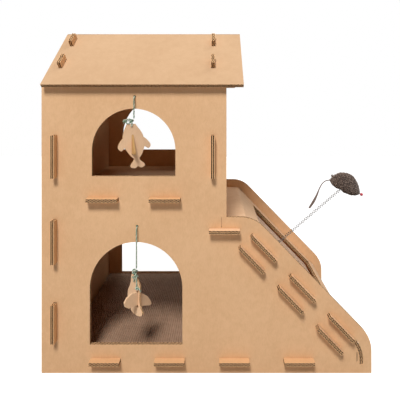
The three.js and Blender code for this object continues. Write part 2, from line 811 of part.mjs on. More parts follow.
// A fin's outline in depth and height as shares of its half span and root: a tall root in the slit,
// swept to a tip in front and one behind. The lower fish's fins are wings, the rear one hanging lower.
const finFrontShares = [[-0.12, 1], [-0.55, 0.93], [-0.94, 0.99], [-1, 0.86], [-0.62, 0.52], [-0.12, 0]];
const finRearShares = finFrontShares.map(([across, down]) => [-across, down]).reverse();
const wingFrontShares = [[-0.12, 0.8], [-0.4, 0.76], [-0.72, 0.7], [-0.94, 0.5], [-1, 0.24], [-0.84, 0.02],
  [-0.5, -0.06], [-0.12, 0]];
const wingRearShares = [[0.12, 0.2], [0.36, 0.34], [0.7, 0.68], [0.92, 1.06], [1, 1.3], [0.86, 1.34],
  [0.5, 1.16], [0.12, 1]];

function finSolid(middle, top, span, root, shares) {
  const outline = shares.map(([across, down]) => [cordPlane + across * span / 2, top - down * root]);
  return solidOf(sideExtrusion(polygon(outline), middle - toyThickness / 2, middle + toyThickness / 2));
}

function finSlit(middle, top, root) {
  const half = toyThickness / 2 + fit;
  return block(middle - half, middle + half, cordPlane - overrun, cordPlane + overrun,
    top - root - fit, top + fit);
}

function toyPlate(outline, x, z, tilt) {
  const plate = frontExtrusion(outline, -toyThickness / 2, toyThickness / 2, 4);
  plate.rotateY(-tilt);
  plate.translate(x, cordPlane, z);
  return solidOf(plate);
}

// A toy hangs turned about its cord, as the twist of the cord leaves it
function hungTurned(solid, hole, turn) {
  return solid
    .translate([-hole.x, -cordPlane, 0])
    .rotate([0, 0, THREE.MathUtils.radToDeg(turn)])
    .translate([hole.x, cordPlane, 0]);
}

const fishTop = upperHole.z - upperCordDrop - fishKnot.height - 2 * fit;
const petalTop = lowerHole.z - lowerCordDrop - petalKnot.height - 2 * fit;

// A fish's plate, slit for its fin and hollowed for its knot
function fishBody(hole, drop, knot, plate, slit, turn) {
  return hungTurned(cutBy(plate, [slit, solidOf(grownKnot(hole, drop, knot))]), hole, turn);
}

function upperFishBody() {
  const outline = splineOutline(fishOutlineRuns, fishHalfSpan, fishLength, fishLean);
  const plate = toyPlate(outline, upperHole.x - fishHeadInset, fishTop, fishTilt);
  const slit = finSlit(upperHole.x + finShift, fishTop - finPlace, finRoot);
  return fishBody(upperHole, upperCordDrop, fishKnot, plate, slit, fishTurn);
}

function upperFishFin() {
  const fin = finSolid(upperHole.x + finShift, fishTop - finPlace, finSpan, finRoot,
    [...finFrontShares, ...finRearShares]);
  return hungTurned(fin, upperHole, fishTurn);
}

function lowerFishBody() {
  const outline = splineOutline(petalOutlineRuns, petalHalfSpan, petalLength, 0);
  const plate = toyPlate(outline, lowerHole.x - petalHeadInset, petalTop, petalTilt);
  const slit = finSlit(lowerHole.x + petalFinShift, petalTop - petalFinPlace, petalFinRoot);
  return fishBody(lowerHole, lowerCordDrop, petalKnot, plate, slit, petalTurn);
}

function lowerFishFin() {
  const wings = finSolid(lowerHole.x + petalFinShift, petalTop - petalFinPlace, petalFinSpan, petalFinRoot,
    [...wingFrontShares, ...wingRearShares]);
  return hungTurned(wings, lowerHole, petalTurn);
}

function fishKnotSolid(hole, drop, knot, turn) {
  return hungTurned(solidOf(toyKnot(hole, drop, knot)), hole, turn);
}

// The knot grown by the fit, which keeps a tilted head clear of it
function grownKnot(hole, drop, knot) {
  const grown = { ...knot, length: knot.length + 2 * fit, thickness: knot.thickness + 2 * fit,
    height: knot.height + 2 * fit };
  return toyKnot(hole, drop - fit, grown);
}

// Mouse. Its back, belly and sides swell and taper along its length, from the rump to the nose.

const mouseShares = [0, 0.1, 0.2, 0.35, 0.5, 0.62, 0.75, 0.87, 0.95, 1];
const mouseBackShares = [0.25, 0.44, 0.55, 0.65, 0.7, 0.65, 0.5, 0.32, 0.21, 0.12];
const mouseBellyShares = [0.12, 0.18, 0.22, 0.26, 0.28, 0.28, 0.26, 0.2, 0.14, 0.09];
const mouseSideShares = [0.19, 0.34, 0.45, 0.5, 0.5, 0.47, 0.39, 0.28, 0.19, 0.12];

const tableAt = (places, values, share) => {
  const upper = Math.max(1, places.findIndex((place) => place >= share));
  const part = (share - places[upper - 1]) / (places[upper] - places[upper - 1]);
  return THREE.MathUtils.lerp(values[upper - 1], values[upper], part);
};

const mouseAxis = new THREE.Vector3(Math.cos(mouseTilt), 0, Math.sin(mouseTilt));
const mouseUp = new THREE.Vector3(-Math.sin(mouseTilt), 0, Math.cos(mouseTilt));
const mouseRump = springTip.clone()
  .addScaledVector(mouseAxis, -mouseSeatShare * mouseLength)
  .addScaledVector(mouseUp, mouseSeatDepth);
const mouseMatrix = new THREE.Matrix4()
  .makeBasis(mouseAxis, new THREE.Vector3(0, 1, 0), mouseUp)
  .setPosition(mouseRump);

function mouseBody() {
  const form = new THREE.SphereGeometry(1, 24, 18);
  form.rotateZ(-Math.PI / 2);
  const positions = form.attributes.position;
  for (let index = 0; index < positions.count; index += 1) {
    const point = new THREE.Vector3().fromBufferAttribute(positions, index);
    const share = THREE.MathUtils.clamp((point.x + 1) / 2, 0, 1);
    const around = Math.hypot(point.y, point.z);
    const end = Math.min(1, around / Math.SQRT1_2);
    const side = around ? point.y / around : 0;
    const up = around ? point.z / around : 0;
    const upShares = up > 0 ? mouseBackShares : mouseBellyShares;
    positions.setXYZ(index, share * mouseLength,
      end * side * tableAt(mouseShares, mouseSideShares, share) * mouseWidth,
      end * up * tableAt(mouseShares, upShares, share) * mouseHeight);
  }
  form.applyMatrix4(mouseMatrix);
  const reach = mouseSeatDepth + overrun;
  const flare = mouseSocketFlare * reach / mouseSeatDepth;
  const funnel = new THREE.CylinderGeometry(springCupRadius, springCupRadius + flare, reach, 20);
  funnel.translate(0, -reach / 2, 0);
  funnel.applyQuaternion(new THREE.Quaternion().setFromUnitVectors(new THREE.Vector3(0, 1, 0), springAxis));
  funnel.translate(...springTip.toArray());
  return cutBy(solidOf(form), [solidOf(funnel), ball(springTip, springCupRadius, 20)]);
}

function mouseNose() {
  const tip = new THREE.Vector3(mouseLength + noseRadius + fit, 0, 0).applyMatrix4(mouseMatrix);
  const bead = new THREE.SphereGeometry(noseRadius, 16, 12);
  bead.translate(...tip.toArray());
  return bead;
}

// A flat strip that arches out of the rump and hangs, narrow in its middle and wide at its end
const tailShares = [[0, 0], [0.1, 0], [0.24, 0.02], [0.4, 0.12], [0.53, 0.3], [0.63, 0.5], [0.78, 0.74],
  [0.98, 0.98]];
const tailWidthShares = [0.42, 0.35, 0.33, 0.33, 0.39, 0.63, 1, 0.7];
const tailSteps = 16;

function mouseTail() {
  const root = mouseRump.clone().addScaledVector(mouseAxis, tailSet - tailRootRadius - fit);
  root.y -= tailShift;
  const route = new THREE.CatmullRomCurve3(
    tailShares.map(([out, down]) => new THREE.Vector3(-out * tailReach, 0, -down * tailDrop)));
  const widths = new THREE.SplineCurve(
    tailWidthShares.map((share, index) => new THREE.Vector2(index, share)));
  const left = [];
  const right = [];
  for (let step = 0; step <= tailSteps; step += 1) {
    const share = step / tailSteps;
    const place = route.getPoint(share);
    const heading = route.getTangent(share);
    const half = widths.getPoint(share).y * tailWidth / 2;
    left.push([place.x - heading.z * half, place.z + heading.x * half]);
    right.push([place.x + heading.z * half, place.z - heading.x * half]);
  }
  const strip = frontExtrusion(polygon([...left, ...right.reverse()]), -tailThickness / 2, tailThickness / 2);
  const hub = new THREE.CylinderGeometry(tailRootRadius, tailRootRadius, tailThickness, 16);
  return joined([solidOf(strip), solidOf(hub)]).translate(root.toArray());
}

// Materials
const finish = (color, roughness, metalness = 0) => (
  new THREE.MeshStandardMaterial({ color, roughness, metalness }));
const kraft = finish('#d8ac80', 0.85);
const roofKraft = finish('#e4b991', 0.85);
const padBoard = finish('#b99a80', 0.95);
const matBoard = finish('#5d4635', 0.95);
const card = finish('#dcb594', 0.8);
const cordGreen = finish('#9fb8a2', 0.9);
const plainWood = finish('#c7a06f', 0.7);
const springSteel = finish('#b9bcbd', 0.35, 1);
const fur = finish('#5b4a41', 1);
const redBead = finish('#c3283a', 0.35);
const tailFelt = finish('#6d5f5a', 0.9);

// Assembly
const house = new THREE.Group();

function piece(name, shape, material) {
  const geometry = shape.isBufferGeometry ? shape : geometryOf(shape);
  const mesh = new THREE.Mesh(geometry, material);
  mesh.name = name;
  house.add(mesh);
}

piece('front_panel', panel(0, [
  archCutter(upperDoor), archCutter(lowerDoor), cordHole(upperHole), cordHole(lowerHole)]), kraft);
piece('back_panel', panel(backInner, [archCutter(backWindow), archCutter(backDoor)]), kraft);
piece('left_wall', wall(wallInset, 0, leftWallTabs), kraft);
piece('tower_right_wall', towerRightWall(), kraft);
piece('lower_floor', tabbedBoard(lowerFloorLine, lowerFloorTabs), kraft);
piece('floor_scratch_mat', floorMat(), matBoard);
piece('upper_floor', tabbedBoard(upperFloorLine, upperFloorTabs), kraft);
piece('ramp_board', rampBoard(), kraft);
piece('ramp_support_board', tabbedBoard(supportLine, supportTabs), kraft);
piece('scratch_pad', scratchPad(), padBoard);
piece('roof_sheet', roofSheet(), roofKraft);

piece('upper_cord_stop', cordStop(upperHole), cordGreen);
piece('upper_cord_link', cordLink(upperHole), cordGreen);
piece('upper_cord', cordHang(upperHole, upperCordDrop), cordGreen);
piece('upper_fish_knot', fishKnotSolid(upperHole, upperCordDrop, fishKnot, fishTurn), cordGreen);
piece('upper_fish_body', upperFishBody(), card);
piece('upper_fish_fin', upperFishFin(), card);

piece('lower_cord_stop', cordStop(lowerHole), cordGreen);
piece('lower_cord_link', cordLink(lowerHole), cordGreen);
piece('lower_cord', cordHang(lowerHole, lowerCordDrop), cordGreen);
piece('lower_fish_knot', fishKnotSolid(lowerHole, lowerCordDrop, petalKnot, petalTurn), cordGreen);
piece('lower_fish_body', lowerFishBody(), card);
piece('lower_fish_fin', lowerFishFin(), card);

piece('spring_plug', springPlug(), plainWood);
piece('mouse_spring', springGeometry(), springSteel);
piece('mouse_body', mouseBody(), fur);
piece('mouse_nose', mouseNose(), redBead);
piece('mouse_tail', mouseTail(), tailFelt);

// The origin is on the ground, below the middle of everything
const bounds = new THREE.Box3().setFromObject(house);
const middle = bounds.getCenter(new THREE.Vector3());
house.position.set(-middle.x, -middle.y, -bounds.min.z);

export default house;
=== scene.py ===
# %% [markdown]
# # A cardboard cat house
#
# The real object is a flat-packed house of double-wall corrugated board: a tower of two rooms under a
# folded roof, and a ramp with a scratch pad. A fish hangs above each door, and a toy mouse stands on a
# coil spring. The frame holds every board at its real size, and this script gives the house its looks:
# the open flutes of the cut edges, the kraft paper, the twisted cords, the wire and the fur.

# %% Load the frame
import math
import random

import bmesh
import bpy
from mathutils import Matrix, Vector


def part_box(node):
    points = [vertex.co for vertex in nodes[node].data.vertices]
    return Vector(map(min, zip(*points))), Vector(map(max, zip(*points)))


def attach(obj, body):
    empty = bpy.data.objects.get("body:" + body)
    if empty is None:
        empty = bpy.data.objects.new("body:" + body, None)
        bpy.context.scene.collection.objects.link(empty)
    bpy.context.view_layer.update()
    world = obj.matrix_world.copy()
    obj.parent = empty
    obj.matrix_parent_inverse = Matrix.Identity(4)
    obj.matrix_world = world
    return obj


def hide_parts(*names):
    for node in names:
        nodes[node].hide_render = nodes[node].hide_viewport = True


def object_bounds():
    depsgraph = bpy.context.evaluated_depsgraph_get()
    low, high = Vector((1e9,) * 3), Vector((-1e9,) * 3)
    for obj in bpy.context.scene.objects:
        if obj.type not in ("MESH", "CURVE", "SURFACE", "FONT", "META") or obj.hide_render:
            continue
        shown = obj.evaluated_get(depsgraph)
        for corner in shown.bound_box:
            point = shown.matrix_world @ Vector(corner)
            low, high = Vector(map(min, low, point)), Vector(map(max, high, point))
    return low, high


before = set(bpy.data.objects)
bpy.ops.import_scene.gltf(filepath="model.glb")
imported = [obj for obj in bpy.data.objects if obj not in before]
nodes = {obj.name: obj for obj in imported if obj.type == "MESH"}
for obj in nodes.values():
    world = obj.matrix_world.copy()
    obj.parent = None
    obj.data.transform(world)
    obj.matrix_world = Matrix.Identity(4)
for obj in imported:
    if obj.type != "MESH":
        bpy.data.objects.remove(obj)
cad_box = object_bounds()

MM = 0.001

# %% [markdown]
# ## The house's own millimetres
#
# A maker would measure from the front panel's lower left corner: X to the right, Y to the back and Z up.
# The frame's origin is under the middle instead, so one function turns the maker's numbers into places.

# %% Places
HOUSE_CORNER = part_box("front_panel")[0]
X, Y, Z = Vector((1, 0, 0)), Vector((0, 1, 0)), Vector((0, 0, 1))


def house(x, y, z):
    return HOUSE_CORNER + Vector((x, y, z)) * MM


# The lowest corner of a node's box, and the box's size in millimetres
def span_of(node):
    low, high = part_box(node)
    return low, (high - low) / MM


# %% [markdown]
# ## Camera
#
# The photograph is a level view, because all upright edges stay upright, yet the house is seen from
# above. A photographer gets that by shifting the lens down. The vanishing point of the depth lines gives
# the shift, and the foreshortening of the back panel gives the distance.

# %% Camera
PHOTO_PIXELS = 400
VANISHING_PIXEL = (217.5, 101)
FOCAL_PIXELS = 360.5
SENSOR_WIDTH = 36
CAMERA_PLACE = (334.4, -685, 517)

camera_data = bpy.data.cameras.new("photo_camera")
camera_data.sensor_width = SENSOR_WIDTH
camera_data.lens = FOCAL_PIXELS / PHOTO_PIXELS * SENSOR_WIDTH
camera_data.shift_x = 0.5 - VANISHING_PIXEL[0] / PHOTO_PIXELS
camera_data.shift_y = VANISHING_PIXEL[1] / PHOTO_PIXELS - 0.5
camera = bpy.data.objects.new("photo_camera", camera_data)
camera.location = house(*CAMERA_PLACE)
camera.rotation_euler = (math.pi / 2, 0, 0)
bpy.context.scene.collection.objects.link(camera)
bpy.context.scene.camera = camera
print("lens, mm:", round(camera_data.lens, 1))

# %% [markdown]
# ## Helpers for pieces
#
# Each piece is a mesh whose object sits at the origin, so that a pattern on object coordinates is a
# pattern in the house's own space. Curved surfaces shade smoothly up to a sharp angle, as folded and
# cut board does.

# %% Piece helpers
SHARP_ANGLE = math.radians(30)


def new_object(name, data):
    thing = bpy.data.objects.new(name, data)
    bpy.context.scene.collection.objects.link(thing)
    return thing


def new_piece(name, mesh, body):
    piece = new_object(name, mesh)
    mesh.shade_smooth()
    mesh.set_sharp_from_angle(angle=SHARP_ANGLE)
    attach(piece, body)
    return piece


def mesh_from(bm, name):
    mesh = bpy.data.meshes.new(name)
    bm.to_mesh(mesh)
    bm.free()
    return mesh


# The mesh of an object as its modifiers or curve settings leave it. The object itself is removed.
def finished_mesh(thing):
    bpy.context.view_layer.update()
    depsgraph = bpy.context.evaluated_depsgraph_get()
    mesh = bpy.data.meshes.new_from_object(thing.evaluated_get(depsgraph))
    bpy.data.objects.remove(thing)
    return mesh


# %% [markdown]
# A node's faces don't share their vertices, so a copy of its mesh is welded before it is worked on. A
# finish goes to a material slot, and each face keeps the number of its slot.

# %% Copies and finishes
WELD_DISTANCE = 0.001 * MM


def welded_copy(node):
    bm = bmesh.new()
    bm.from_mesh(nodes[node].data)
    bmesh.ops.remove_doubles(bm, verts=bm.verts, dist=WELD_DISTANCE)
    return bm


def dress(thing, *finishes):
    slots = thing.data.materials
    for index, finish in enumerate(finishes):
        if index < len(slots):
            slots[index] = finish
        else:
            slots.append(finish)


# %% [markdown]
# Cord plies and spring wire are round tubes: a curve through many places, with a round bevel.

# %% Tubes
TUBE_ROUNDNESS = 3


def tube_mesh(name, places, diameter):
    curve = bpy.data.curves.new(name, "CURVE")
    curve.dimensions = "3D"
    curve.bevel_depth = diameter / 2 * MM
    curve.bevel_resolution = TUBE_ROUNDNESS
    curve.use_fill_caps = True
    line = curve.splines.new("POLY")
    line.points.add(len(places) - 1)
    for point, place in zip(line.points, places):
        point.co = (*place, 1)
    return finished_mesh(new_object(name, curve))


# %% [markdown]
# ## Cords
#
# A toy hangs on two-ply cotton cord, 3 mm thick: a green yarn and a white one, twisted. Each ply is a
# curve wound round the cord's centreline by a loop, one turn every 9 mm, and turned into a mesh.

# %% Cord
CORD_DIAMETER = 3
PLY_TURN = 9
PLY_STEPS_PER_TURN = 12


# Points along a route of straight runs, a fixed step apart, with the distance walked and the heading
def walk_route(route, step):
    lengths = [(b - a).length for a, b in zip(route, route[1:])]
    count = max(2, round(sum(lengths) / step))
    for index in range(count + 1):
        left = sum(lengths) * index / count
        leg = 0
        while leg < len(lengths) - 1 and left > lengths[leg]:
            left -= lengths[leg]
            leg += 1
        heading = (route[leg + 1] - route[leg]).normalized()
        yield index / count * sum(lengths), route[leg] + heading * left, heading


def ply_mesh(name, route, phase, cord_diameter):
    places = []
    side = X
    for walked, place, heading in walk_route(route, PLY_TURN / PLY_STEPS_PER_TURN * MM):
        side = (side - heading * side.dot(heading)).normalized()
        turn = phase + 2 * math.pi * walked / (PLY_TURN * MM)
        out = side * math.cos(turn) + heading.cross(side) * math.sin(turn)
        places.append(place + out * cord_diameter / 4 * MM)
    return tube_mesh(name, places, cord_diameter / 2)


# One mesh of several cords, each a green ply and a white one
def twisted_mesh(name, routes, cord_diameter=CORD_DIAMETER):
    bm = bmesh.new()
    for route in routes:
        for ply in range(2):
            first = len(bm.faces)
            bm.from_mesh(ply_mesh(name, route, ply * math.pi, cord_diameter))
            bm.faces.ensure_lookup_table()
            for face in bm.faces[first:]:
                face.material_index = ply
    return mesh_from(bm, name)


def twisted_cord(name, routes, body, node):
    piece = new_piece(name, twisted_mesh(name, routes), body)
    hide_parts(node)
    return piece


# %% [markdown]
# ## Knots
#
# A knot pulled tight is a trefoil: one strand that passes over and under itself three times. Its route
# is three sine waves. The strands that leave it follow a smooth line through a few places, and so does
# the one that wraps round the fish's head before it goes into its hole.

# %% Knot helpers
KNOT_STEPS = 60
SMOOTH_STEPS = 8


def knot_route(middle, half):
    half = Vector(half) - Vector((1, 1, 1)) * CORD_DIAMETER / 2
    route = []
    for step in range(KNOT_STEPS + 1):
        t = 2 * math.pi * step / KNOT_STEPS
        shape = Vector((
            (math.sin(t) + 2 * math.sin(2 * t)) / 3,
            math.sin(3 * t),
            (math.cos(t) - 2 * math.cos(2 * t)) / 3,
        ))
        route.append(middle + Vector(a * b for a, b in zip(half, shape)) * MM)
    return route


# A smooth line through every place, whose heading at a place is that from the one before to the next
def smooth_route(places):
    route = []
    for index in range(len(places) - 1):
        a, b = places[index], places[index + 1]
        before = places[max(index - 1, 0)]
        after = places[min(index + 2, len(places) - 1)]
        square = before * 2 - a * 5 + b * 4 - after
        cube = a * 3 - before - b * 3 + after
        for step in range(SMOOTH_STEPS):
            t = step / SMOOTH_STEPS
            route.append(a + ((b - before) * t + square * t ** 2 + cube * t ** 3) / 2)
    route.append(places[-1])
    return route


def routes_of(lines):
    return [smooth_route([house(*place) for place in line]) for line in lines]


# %% [markdown]
# The upper knot has two lumps beside each other on the fish's head, each given by its middle and half
# its size, in the house's millimetres. The lower cord wraps its fish's tip, runs down over its front in
# two strands and ends in a second, smaller knot. A cut end frays into thin threads. The upper ones stick
# out forward, so that they miss the door's edge when the fish spins.

# %% Where the knots lie
KNOT_LUMPS = {
    "upper": [((172.5, -8.9, 479.3), (5.4, 4.2, 5.2)), ((163.4, -13.6, 479.6), (4.2, 3.2, 4.2))],
    "lower": [((179, -6.6, 195), (5.6, 4.8, 7.6)), ((184, -12.2, 167.5), (3.8, 3.2, 4.2))],
}
KNOT_STRANDS = {
    "upper": [
        [(171, -9.5, 482), (168, -12, 483.2), (164.5, -13.8, 481.5)],
        [(171.5, -10.6, 477), (168, -14, 474.6), (164.5, -15.2, 477)],
        [(174, -9, 476), (174.4, -10.6, 472), (172.6, -10.8, 469.4)],
    ],
    "lower": [
        [(179, -9, 190), (178, -8.4, 183), (177.2, -6.2, 177)],
        [(181.5, -8.5, 191), (182.5, -10.8, 182), (183, -11.2, 174), (184, -11.8, 169)],
        [(184, -12.4, 169), (187, -14.2, 168.6), (189.5, -15.2, 165.4)],
        [(183.6, -6, 187), (178, -7.6, 184.6), (172.4, 0.6, 183.8), (178, 1.6, 185.6), (183.6, -6, 187)],
    ],
}
FRAYED_ENDS = {
    "upper": [
        [(162.4, -15.6, 480.6), (160.8, -17.4, 481.6), (159.4, -18.6, 482.4)],
        [(162, -15.8, 479.4), (160.2, -17.6, 479.4), (158.8, -18.8, 479)],
        [(162.4, -15.6, 478), (161.2, -17.4, 476.8), (160.2, -18.6, 475.4)],
    ],
    "lower": [
        [(189, -15, 165.8), (190.6, -15.6, 163.6), (190.8, -15.8, 161.6)],
        [(189, -15, 165.8), (191.4, -15.8, 165), (193, -16.2, 163.8)],
    ],
}
FRAY_DIAMETER = 1.4

# %% [markdown]
# ## Both cords
#
# The cord leaves its hole in the front panel, bends over the edge and hangs. It swings at two places
# close together, so it is three stretches, each on the body that carries it. The routes repeat the
# frame's: a stop knot behind the panel, 6 mm of bend below the hole, a 5 mm link, and the hanging
# stretch down to the toy's knot. That stretch starts half a millimetre inside the link, so that no gap
# shows when it swings.

# %% Cord routes
BOARD = 7
BEND = 6
BEND_STEPS = 6
LINK = 5
LINK_LAP = 0.5
STOP_ROOM = 9
HOLES = {"upper": (177, 525.4), "lower": (181.75, 279)}
DROPS = {"upper": 41, "lower": 77}


# From the stop knot through the hole and a quarter turn down over its edge
def bend_route(hole_x, hole_z):
    route = [house(hole_x, BOARD + STOP_ROOM / 2, hole_z), house(hole_x, 0, hole_z)]
    for step in range(1, BEND_STEPS + 1):
        angle = math.pi / 2 * step / BEND_STEPS
        down = BEND * (1 - math.cos(angle))
        route.append(house(hole_x, -BEND * math.sin(angle), hole_z - down))
    return route


# %% Hang the cords
cord_pieces = []
for floor, (hole_x, hole_z) in HOLES.items():
    link_top = house(hole_x, -BEND, hole_z - BEND)
    link_end = link_top - Z * LINK * MM
    start = link_end + Z * LINK_LAP * MM
    end = house(hole_x, -BEND, hole_z - DROPS[floor])
    stop_knot = knot_route(house(hole_x, BOARD + STOP_ROOM / 2, hole_z), [STOP_ROOM / 2] * 3)
    toy_knot = [knot_route(house(*middle), half) for middle, half in KNOT_LUMPS[floor]]
    stop = twisted_cord(f"{floor}_cord_in_hole", [bend_route(hole_x, hole_z), stop_knot],
                        "house", f"{floor}_cord_stop")
    link = twisted_cord(f"{floor}_cord_over_edge", [[link_top, link_end]],
                        f"{floor}_link", f"{floor}_cord_link")
    hanging = twisted_cord(f"{floor}_hanging_twist", [[start, end]],
                           f"{floor}_hanging_cord", f"{floor}_cord")
    knot = twisted_cord(f"{floor}_knot", toy_knot + routes_of(KNOT_STRANDS[floor]),
                        f"{floor}_fish", f"{floor}_fish_knot")
    fray_mesh = twisted_mesh(f"{floor}_frayed_ends", routes_of(FRAYED_ENDS[floor]), FRAY_DIAMETER)
    fray = new_piece(f"{floor}_frayed_ends", fray_mesh, f"{floor}_fish")
    cord_pieces += [stop, link, hanging, knot, fray]
    print(floor, "cord hangs, mm:", round((start - end).length / MM, 1))

# %% [markdown]
# ## Open flutes
#
# Double-wall board is three flat liners with two wavy sheets glued between them. Where it is cut across
# the waves, the edge shows a row of open channels, and that zigzag is what makes the house look like
# cardboard. Each channel is cut right through the board, as long as the board is, so that every tab,
# slot and eave shows what a real cut would. One cell is a bmesh of a few extruded faces, copied at every
# 7.1 mm. Real liners are 0.3 mm thick, drawn here as 0.6 mm, because thinner ones don't show in the
# picture.

# %% Flute cell
FLUTE_PITCH = 7.1
LINER = 0.6
MEDIUM = 0.65
CREST_SHARE = 0.16
FISH_BOARD = 3


# Adds one flute's channels: `along` and `out` are the board's directions, `run` is the channel's whole
# length, and `layers` are the lowest and highest places of each wavy sheet, all in metres.
def add_flute(bm, start, along, out, run, pitch, layers):
    for low, high in layers:
        foot = pitch / 2 - MEDIUM * MM
        crest = pitch * CREST_SHARE / 2
        roof = high - MEDIUM * MM
        up = [(-foot, low), (foot, low), (crest, roof), (-crest, roof)]
        down = [(pitch / 2 - s, low + high - h) for s, h in up]
        for outline in (up, down):
            verts = [bm.verts.new(start + along * s + out * h) for s, h in outline]
            wall = bmesh.ops.extrude_face_region(bm, geom=[bm.faces.new(verts)])
            moved = [item for item in wall["geom"] if isinstance(item, bmesh.types.BMVert)]
            bmesh.ops.translate(bm, vec=run, verts=moved)


def wavy_layers(thickness, count):
    height = (thickness - LINER * (count + 1)) / count
    starts = [LINER + (height + LINER) * index for index in range(count)]
    return [(start * MM, (start + height) * MM) for start in starts]


DOUBLE_WALL = wavy_layers(BOARD, 2)
SINGLE_WALL = wavy_layers(FISH_BOARD, 1)

# %% [markdown]
# A Boolean modifier takes the channels out of a welded copy of the board. Its faces end up in three
# material slots: the liners, the channels' own faces, which are painted dark as painted shade because
# little light gets in, and the cut edges that the channels open into, which are painted paler: cut paper
# is paler than its rolled face, and the rest of their brightness is a painted highlight.

# %% Fluted board
LINER_SLOT, FLUTE_SLOT, CUT_SLOT = 0, 1, 2


# Marks the flat faces that share an edge with a channel, which are the board's cut edges
def mark_cut_faces(mesh):
    bm = bmesh.new()
    bm.from_mesh(mesh)
    cut = [face for face in bm.faces if face.material_index == LINER_SLOT and any(
        other.material_index == FLUTE_SLOT for edge in face.edges for other in edge.link_faces)]
    for face in cut:
        face.material_index = CUT_SLOT
    bm.to_mesh(mesh)
    bm.free()


def fluted_board(node, channels, body):
    bmesh.ops.recalc_face_normals(channels, faces=channels.faces)
    for face in channels.faces:
        face.material_index = FLUTE_SLOT
    cutter = new_object("flutes", mesh_from(channels, "flutes"))
    board = new_object("board", mesh_from(welded_copy(node), node))
    for thing in (board, cutter):
        dress(thing, None, None, None)
    cut = board.modifiers.new("flutes", "BOOLEAN")
    cut.operation = "DIFFERENCE"
    cut.solver = "MANIFOLD"
    cut.object = cutter
    mesh = finished_mesh(board)
    bpy.data.objects.remove(cutter)
    mark_cut_faces(mesh)
    piece = new_piece(f"{node}_fluted", mesh, body)
    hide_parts(node)
    print(node, "faces:", len(mesh.polygons))
    return piece


# %% [markdown]
# ## Panels, floors and walls
#
# The panels' flutes run upwards, so the sills and the ramp's edge show their ends. The floors' flutes
# run from front to back, so their tabs show the zigzag. The walls' flutes run upwards: their front tabs
# are cut lengthwise and show long grooves, and their roof tabs show the ends. Each channel overruns the
# board by 2 mm, so that the cut is clean. For each board, the table says which way the flutes follow
# each other, which way the board is thick and which way a flute runs.

# %% Flat boards
OVERRUN = 2
FLAT_BOARDS = {
    "front_panel": (X, Y, Z),
    "back_panel": (X, Y, Z),
    "lower_floor": (X, Z, Y),
    "upper_floor": (X, Z, Y),
    "left_wall": (Y, X, Z),
    "tower_right_wall": (Y, X, Z),
}


# The count of whole flutes nearest to the real pitch, and the pitch that fits them in exactly, so that
# both ends of a board are cut through the middle of a channel
def fitted_pitch(length):
    count = round(length / FLUTE_PITCH)
    return count, length / count


boards = {}
for node, (along, out, way) in FLAT_BOARDS.items():
    low, size = span_of(node)
    corner = low - way * OVERRUN * MM
    run = way * (size.dot(way) + 2 * OVERRUN) * MM
    count, pitch = fitted_pitch(size.dot(along))
    flutes = bmesh.new()
    for index in range(count + 1):
        place = corner + along * index * pitch * MM
        add_flute(flutes, place, along, out, run, pitch * MM, DOUBLE_WALL)
    boards[node] = fluted_board(node, flutes, "house")

# %% [markdown]
# ## Folded boards
#
# The ramp is one board, bent twice, and the board under it has an end flap. Their flutes run from front
# to back, so a step along the fold line places each flute square to the board, also round the bends.

# %% Fold lines
TABS_NEAR, TABS_FAR = -13 - OVERRUN, 350 + OVERRUN


# The place and heading after `part` of a run, which is straight (turn 0) or a round bend
def along_run(place, heading, length, turn, part):
    if turn == 0:
        return place + part * Vector((math.cos(heading), math.sin(heading))), heading
    radius = length / turn
    angle = heading + part / radius
    middle = place + radius * Vector((-math.sin(heading), math.cos(heading)))
    return middle - radius * Vector((-math.sin(angle), math.cos(angle))), angle


# Walks a folded line, given as (length, turn) runs, and yields a place and heading every pitch
def folded_places(start, heading, runs, pitch):
    place = Vector(start)
    walked = 0
    due = 0
    for length, turn in runs:
        while due <= walked + length:
            yield along_run(place, heading, length, turn, due - walked)
            due += pitch
        place, heading = along_run(place, heading, length, turn, length)
        walked += length


# Flutes from front to back along a folded line, whose board lies below the line
def folded_flutes(places, pitch):
    bm = bmesh.new()
    run = Y * (TABS_FAR - TABS_NEAR) * MM
    for spot, angle in places:
        along = Vector((math.cos(angle), 0, math.sin(angle)))
        out = Vector((math.sin(angle), 0, -math.cos(angle)))
        add_flute(bm, house(spot.x, TABS_NEAR, spot.y), along, out, run, pitch * MM, DOUBLE_WALL)
    return bm


# %% Ramp
RAMP_ANGLE = math.radians(45.8)
SLOPE_CORNER = (391.94, 275)
LANDING_START = 313.5
CREASE_RADIUS = 15
RISER_RADIUS = 60
RISER_FACE = 610.99

slope_x, slope_z = math.cos(RAMP_ANGLE), math.sin(RAMP_ANGLE)
slope_length = (RISER_FACE - SLOPE_CORNER[0]) / slope_x
riser_top = SLOPE_CORNER[1] - slope_length * slope_z
riser_turn = math.pi / 2 - RAMP_ANGLE
crease_tangent = CREASE_RADIUS * math.tan(RAMP_ANGLE / 2)
riser_tangent = RISER_RADIUS * math.tan(riser_turn / 2)
ramp_runs = [
    (SLOPE_CORNER[0] - crease_tangent - LANDING_START, 0),
    (CREASE_RADIUS * RAMP_ANGLE, -RAMP_ANGLE),
    (slope_length - crease_tangent - riser_tangent, 0),
    (RISER_RADIUS * riser_turn, -riser_turn),
    (riser_top - riser_tangent, 0),
]
count, pitch = fitted_pitch(sum(length for length, turn in ramp_runs))
places = folded_places((LANDING_START, SLOPE_CORNER[1]), 0, ramp_runs, pitch)
boards["ramp_board"] = fluted_board(
    "ramp_board", folded_flutes(places, pitch), "house")

# %% [markdown]
# The support board lies 31 mm below the slope and starts a little further up it. Its flutes stop before
# the fold of the end flap, which crushes them.

# %% Ramp support
SUPPORT_SINK = 31
SUPPORT_START = -19.96
FLAP_FACE = 594.99
FOLD_RADIUS = 1.5

